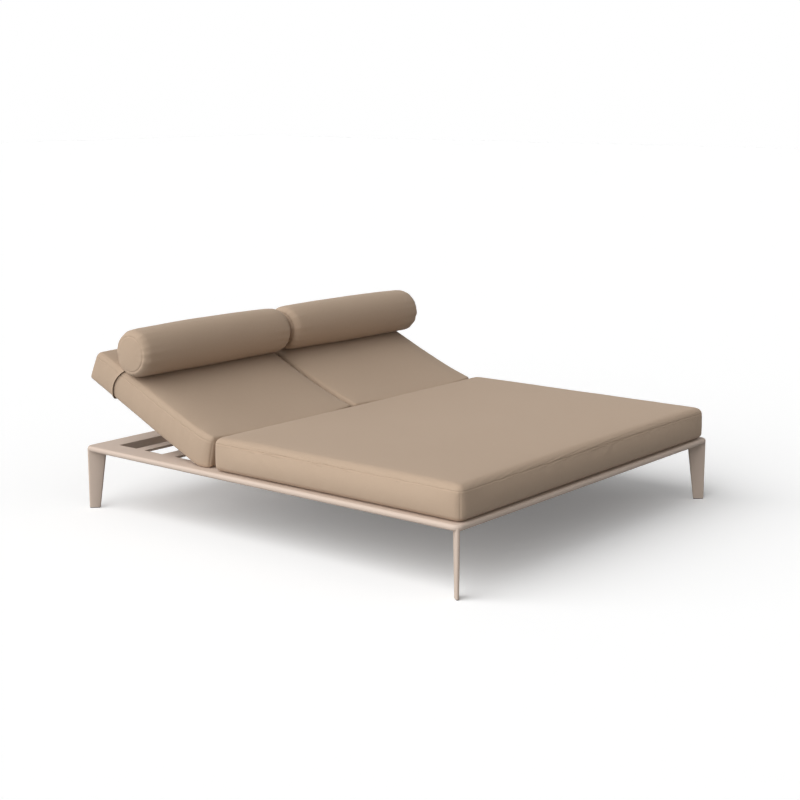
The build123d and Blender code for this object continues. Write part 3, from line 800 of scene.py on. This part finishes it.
# %% Small helpers for node groups
def new_group(name, takes, gives):
    """An empty node group with named inputs and outputs; returns the group and its two end nodes"""
    group = bpy.data.node_groups.new(name, "ShaderNodeTree")
    for label, kind in takes:
        group.interface.new_socket(name=label, in_out="INPUT", socket_type="NodeSocket" + kind)
    for label, kind in gives:
        group.interface.new_socket(name=label, in_out="OUTPUT", socket_type="NodeSocket" + kind)
    return group, group.nodes.new("NodeGroupInput"), group.nodes.new("NodeGroupOutput")


def feed(tree, socket, value):
    """Give a socket a link or a fixed value"""
    if isinstance(value, bpy.types.NodeSocket):
        tree.links.new(value, socket)
    else:
        socket.default_value = value


def sums(tree, operation, *values):
    """The result of one sum, from sockets and numbers"""
    node = tree.nodes.new("ShaderNodeMath")
    node.operation = operation
    for place, value in enumerate(values):
        feed(tree, node.inputs[place], value)
    return node.outputs[0]


def stretched(tree, coordinates, counts):
    """The coordinates, multiplied along each axis"""
    node = tree.nodes.new("ShaderNodeVectorMath")
    node.operation = "MULTIPLY"
    feed(tree, node.inputs[0], coordinates)
    node.inputs[1].default_value = counts
    return node.outputs[0]


def cloudy(tree, coordinates, detail):
    """Soft noise between 0 and 1, one wave for each unit of the coordinates"""
    node = tree.nodes.new("ShaderNodeTexNoise")
    feed(tree, node.inputs["Vector"], coordinates)
    node.inputs["Scale"].default_value = 1.0
    node.inputs["Detail"].default_value = detail
    return node.outputs["Fac"]


def spread(tree, value, low, high):
    """A value between 0 and 1, laid between two others"""
    node = tree.nodes.new("ShaderNodeMapRange")
    feed(tree, node.inputs["Value"], value)
    node.inputs["To Min"].default_value = low
    node.inputs["To Max"].default_value = high
    return node.outputs["Result"]


def blended(tree, share, first, second):
    """A mix of two colours"""
    node = tree.nodes.new("ShaderNodeMix")
    node.data_type = "RGBA"
    feed(tree, node.inputs["Factor"], share)
    feed(tree, node.inputs["A"], first)
    feed(tree, node.inputs["B"], second)
    return node.outputs["Result"]


# %% [markdown]
# Outdoor canvas is a plain weave: each thread passes over one crossing thread and under the next. Along a
# thread its height is a wave, and across it an arch. One product of a sine and a cosine gives both, and turns
# over by itself from one thread to the next. Where both threads are worked out, the higher one is on top.

# %% The weave
thread_pitch = 1.3 * millimetre
warp_streaks = (900, 40, 1)
weft_streaks = (40, 900, 1)


def weave_group():
    """Height of a plain weave, and the flecks of its yarns, from thread coordinates and a thread pitch"""
    group, taken, given = new_group("plain_weave", (("Threads", "Vector"), ("Pitch", "Float")),
                                    (("Height", "Float"), ("Fleck", "Float")))
    turns = group.nodes.new("ShaderNodeVectorMath")
    turns.operation = "SCALE"
    group.links.new(taken.outputs["Threads"], turns.inputs[0])
    group.links.new(sums(group, "DIVIDE", pi, taken.outputs["Pitch"]), turns.inputs["Scale"])
    parts = group.nodes.new("ShaderNodeSeparateXYZ")
    group.links.new(turns.outputs[0], parts.inputs[0])
    across = parts.outputs["X"]
    along = parts.outputs["Y"]
    arch_across = sums(group, "SINE", across)
    arch_along = sums(group, "SINE", along)
    warp = sums(group, "MULTIPLY_ADD", arch_across, sums(group, "COSINE", along),
                sums(group, "ABSOLUTE", arch_across))
    weft = sums(group, "SUBTRACT", sums(group, "ABSOLUTE", arch_along),
                sums(group, "MULTIPLY", arch_along, sums(group, "COSINE", across)))
    height = sums(group, "MULTIPLY", sums(group, "MAXIMUM", warp, weft), 0.5)
    warp_yarn = cloudy(group, stretched(group, taken.outputs["Threads"], warp_streaks), 2)
    weft_yarn = cloudy(group, stretched(group, taken.outputs["Threads"], weft_streaks), 2)
    on_top = sums(group, "GREATER_THAN", warp, weft)
    fleck = sums(group, "MULTIPLY_ADD", on_top, sums(group, "SUBTRACT", warp_yarn, weft_yarn), weft_yarn)
    group.links.new(height, given.inputs["Height"])
    group.links.new(fleck, given.inputs["Fleck"])
    return group


weave = weave_group()

# %% [markdown]
# Powder coat melts and levels while it bakes, but never quite: it keeps a fine orange peel, and its gloss
# varies a little. A second group gives slow patches, for the way that hands, sun and rain change a surface.

# %% Orange peel, drawn metal and slow patches
def peel_group():
    """Height and gloss of a baked coat, from solid coordinates"""
    group, taken, given = new_group("orange_peel", (("Place", "Vector"),),
                                    (("Height", "Float"), ("Gloss", "Float")))
    group.links.new(cloudy(group, stretched(group, taken.outputs["Place"], (450, 450, 450)), 2),
                    given.inputs["Height"])
    group.links.new(cloudy(group, stretched(group, taken.outputs["Place"], (30, 30, 30)), 3),
                    given.inputs["Gloss"])
    return group


def drawn_group():
    """Fine lines along X, as on drawn or brushed metal"""
    group, taken, given = new_group("drawn_lines", (("Place", "Vector"),), (("Height", "Float"),))
    group.links.new(cloudy(group, stretched(group, taken.outputs["Place"], (30, 1800, 1800)), 2),
                    given.inputs["Height"])
    return group


def patch_group():
    """Slow, soft patches between 0 and 1"""
    group, taken, given = new_group("slow_patches", (("Place", "Vector"),), (("Patch", "Float"),))
    group.links.new(cloudy(group, stretched(group, taken.outputs["Place"], (4, 4, 4)), 3),
                    given.inputs["Patch"])
    return group


peel = peel_group()
drawn_lines = drawn_group()
patches = patch_group()
print("node groups:", [group.name for group in bpy.data.node_groups])

# %% [markdown]
# Each material sets the constant sides of its finish on the shader itself, and takes only colour, roughness
# and bump from the groups. The constant sides are then easy to find and to export.

# %% A material, and a group used in it
def begin(name):
    """A new material; returns its node tree, its shader and its solid coordinates"""
    material = bpy.data.materials.new(name)
    material.use_nodes = True
    tree = material.node_tree
    place = tree.nodes.new("ShaderNodeTexCoord").outputs["Object"]
    return material, tree, tree.nodes["Principled BSDF"], place


def use_group(tree, group, **given):
    """A group node in a material, fed by the names of its inputs"""
    node = tree.nodes.new("ShaderNodeGroup")
    node.node_tree = group
    for label, value in given.items():
        feed(tree, node.inputs[label], value)
    return node.outputs


def bump(tree, shader, height, distance, strength):
    """Let a height shape the shader's normal"""
    node = tree.nodes.new("ShaderNodeBump")
    node.inputs["Distance"].default_value = distance
    node.inputs["Strength"].default_value = strength
    feed(tree, node.inputs["Height"], height)
    tree.links.new(node.outputs["Normal"], shader.inputs["Normal"])


# %% [markdown]
# The covers are outdoor canvas in a warm sand: dyed acrylic yarn, so the colour goes right through, with
# slightly lighter and darker fibres spun together. It is matt, with a faint bloom of fibre ends at a low
# angle.

# %% Canvas
def canvas():
    """Sand-coloured outdoor canvas, woven along the thread coordinates"""
    material, tree, shader, place = begin("sand_canvas")
    threads = tree.nodes.new("ShaderNodeUVMap")
    threads.uv_map = "threads"
    cloth = use_group(tree, weave, Threads=threads.outputs["UV"], Pitch=thread_pitch)
    patch = use_group(tree, patches, Place=place)["Patch"]
    dark_yarn = (0.41, 0.300, 0.215, 1)
    light_yarn = (0.52, 0.392, 0.287, 1)
    # painted shade: a darker colour that stands for the shade in the hollows between the threads
    shade_between_yarns = (0.30, 0.21, 0.15, 1)
    faded_yarn = (0.54, 0.43, 0.33, 1)
    yarn = blended(tree, spread(tree, cloth["Fleck"], 0.1, 0.9), dark_yarn, light_yarn)
    # painted shade: where the weave is low, the yarn colour turns towards that darker colour
    shaded = blended(tree, spread(tree, cloth["Height"], 0.10, 0), yarn, shade_between_yarns)
    faded = blended(tree, spread(tree, patch, 0, 0.12), shaded, faded_yarn)
    tree.links.new(faded, shader.inputs["Base Color"])
    tree.links.new(spread(tree, cloth["Fleck"], 0.82, 0.94), shader.inputs["Roughness"])
    shader.inputs["Specular IOR Level"].default_value = 0.3
    shader.inputs["Sheen Weight"].default_value = 0.08
    shader.inputs["Sheen Roughness"].default_value = 0.5
    bump(tree, shader, cloth["Height"], 0.25 * millimetre, 0.5)
    return material


# %% [markdown]
# The frame is coated in a warm pearl beige, nearly matt and smooth to the hand.

# %% Powder coat, metals, nylon and rubber
def powder_coat():
    """Matt beige powder coat with a fine orange peel"""
    material, tree, shader, place = begin("beige_powder_coat")
    skin = use_group(tree, peel, Place=place)
    patch = use_group(tree, patches, Place=place)["Patch"]
    dark_coat = (0.60, 0.485, 0.405, 1)
    light_coat = (0.66, 0.545, 0.46, 1)
    beige = blended(tree, spread(tree, patch, 0, 0.5), dark_coat, light_coat)
    tree.links.new(beige, shader.inputs["Base Color"])
    tree.links.new(spread(tree, skin["Gloss"], 0.55, 0.68), shader.inputs["Roughness"])
    shader.inputs["Specular IOR Level"].default_value = 0.25
    bump(tree, shader, skin["Height"], 0.05 * millimetre, 0.3)
    return material


def bare_metal(name, dark, light, smooth, rough):
    """Bare metal with fine drawn lines"""
    material, tree, shader, place = begin(name)
    lines = use_group(tree, drawn_lines, Place=place)["Height"]
    patch = use_group(tree, patches, Place=place)["Patch"]
    tree.links.new(blended(tree, spread(tree, patch, 0.2, 0.8), dark, light), shader.inputs["Base Color"])
    tree.links.new(spread(tree, lines, smooth, rough), shader.inputs["Roughness"])
    shader.inputs["Metallic"].default_value = 1.0
    bump(tree, shader, lines, 0.02 * millimetre, 0.25)
    return material


def moulded(name, dark, light, smooth, rough, grain):
    """A moulded plastic or rubber with a fine grain"""
    material, tree, shader, place = begin(name)
    skin = use_group(tree, peel, Place=place)
    tree.links.new(blended(tree, skin["Gloss"], dark, light), shader.inputs["Base Color"])
    tree.links.new(spread(tree, skin["Gloss"], smooth, rough), shader.inputs["Roughness"])
    bump(tree, shader, skin["Height"], grain, 0.4)
    return material


surfaces = {
    "fabric": canvas(),
    "frame_coat": powder_coat(),
    "bare_aluminium": bare_metal("mill_aluminium", (0.70, 0.70, 0.71, 1), (0.79, 0.79, 0.80, 1), 0.32, 0.48),
    "steel": bare_metal("stainless_steel", (0.56, 0.55, 0.54, 1), (0.66, 0.65, 0.64, 1), 0.22, 0.38),
    "nylon": moulded("dark_nylon", (0.020, 0.019, 0.018, 1), (0.030, 0.028, 0.026, 1), 0.42, 0.55,
                     0.05 * millimetre),
    "grip_rubber": moulded("pad_rubber", (0.012, 0.012, 0.012, 1), (0.022, 0.022, 0.021, 1), 0.75, 0.9,
                           0.15 * millimetre),
}
slots = {part["node"]: part["material_slot"] for part in frame["record"]["subparts"]}
for name, node in frame["nodes"].items():
    node.data.materials.clear()
    node.data.materials.append(surfaces[slots[name]])
for piece in [seat] + list(backs.values()) + list(hoods.values()) + list(bolsters.values()):
    piece.data.materials.append(surfaces["fabric"])
print("materials:", [material.name for material in surfaces.values()])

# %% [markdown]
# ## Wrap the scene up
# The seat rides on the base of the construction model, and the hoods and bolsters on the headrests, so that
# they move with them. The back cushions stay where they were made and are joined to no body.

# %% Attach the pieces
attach(seat, "base")
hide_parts("seat_cushion")
for side, piece in backs.items():
    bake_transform(piece)
    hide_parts("back_cushion_" + side)
for side in backs:
    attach(hoods[side], "headrest_" + side)
    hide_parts("headrest_hood_" + side)
    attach(bolsters[side], "headrest_" + side)
    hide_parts("headrest_bolster_" + side)

# %% [markdown]
# ## Floor and light
# The picture is a studio shot on white. One broad lamp high on the left does nearly all the work, so the
# faces towards it are light, the foot end is dim, and the shadows are wide and soft. A weak second lamp fills
# the foot end. A white world would light the object from all sides. So the camera and the reflections see
# white, and everything else sees a dim grey. The floor does the same: the camera sees a white floor with the
# shadow on it, and the object gets a grey one.

# %% Floor
def seen_directly(tree):
    """1 for rays from the camera and for what is seen in a gloss or through glass, else 0"""
    path = tree.nodes.new("ShaderNodeLightPath")
    mirrored = sums(tree, "MAXIMUM", path.outputs["Is Glossy Ray"], path.outputs["Is Transmission Ray"])
    return sums(tree, "MAXIMUM", path.outputs["Is Camera Ray"], mirrored)


white = (1, 1, 1, 1)
black = (0, 0, 0, 1)
floor_grey = (0.27, 0.27, 0.27, 1)
floor_glow = 0.13
floor_half = 40.0
floor_mesh = bpy.data.meshes.new("floor")
floor_mesh.from_pydata([(-floor_half, -floor_half, 0), (floor_half, -floor_half, 0),
                        (floor_half, floor_half, 0), (-floor_half, floor_half, 0)], [], [(0, 1, 2, 3)])
floor = linked("floor", floor_mesh)
paper, paper_tree, paper_shader = begin("paper_floor")[:3]
seen = seen_directly(paper_tree)
paper_tree.links.new(blended(paper_tree, seen, floor_grey, white), paper_shader.inputs["Base Color"])
paper_tree.links.new(blended(paper_tree, seen, black, white), paper_shader.inputs["Emission Color"])
paper_shader.inputs["Emission Strength"].default_value = floor_glow
paper_shader.inputs["Roughness"].default_value = 1.0
paper_shader.inputs["Specular IOR Level"].default_value = 0.0
floor.data.materials.append(paper)

# %% Light
world_light = 0.20
towards_lamp = Vector((-0.80, 0.24, 0.55))
towards_fill = Vector((0.15, -0.85, 0.50))
world = bpy.data.worlds.new("studio")
bpy.context.scene.world = world
world.use_nodes = True
background = world.node_tree.nodes["Background"]
background.inputs["Color"].default_value = white
world.node_tree.links.new(spread(world.node_tree, seen_directly(world.node_tree), world_light, 1.0),
                          background.inputs["Strength"])

key = bpy.data.lights.new("broad_lamp", "SUN")
key.energy = 3.55
key.angle = radians(84)
linked("broad_lamp", key).rotation_euler = towards_lamp.to_track_quat("Z", "Y").to_euler()

fill = bpy.data.lights.new("front_fill", "SUN")
fill.energy = 0.3
fill.angle = radians(60)
linked("front_fill", fill).rotation_euler = towards_fill.to_track_quat("Z", "Y").to_euler()
print("lamps: %s %.2f, %s %.2f" % (key.name, key.energy, fill.name, fill.energy))

# %% [markdown]
# The camera stands to the left of the foot end, a little under standing height, with a short telephoto lens.

# %% Camera
camera_data = bpy.data.cameras.new("camera")
camera_data.lens = 69.98
camera_data.sensor_width = 36
camera = linked("camera", camera_data)
camera.location = (-5.1065, -4.1354, 1.7696)
camera.rotation_euler = (radians(78.715), 0, radians(-51.0))
bpy.context.scene.camera = camera
bpy.context.scene.view_settings.view_transform = "Standard"
print("camera at", [round(part, 3) for part in camera.location])

# %% Import json once more
import json
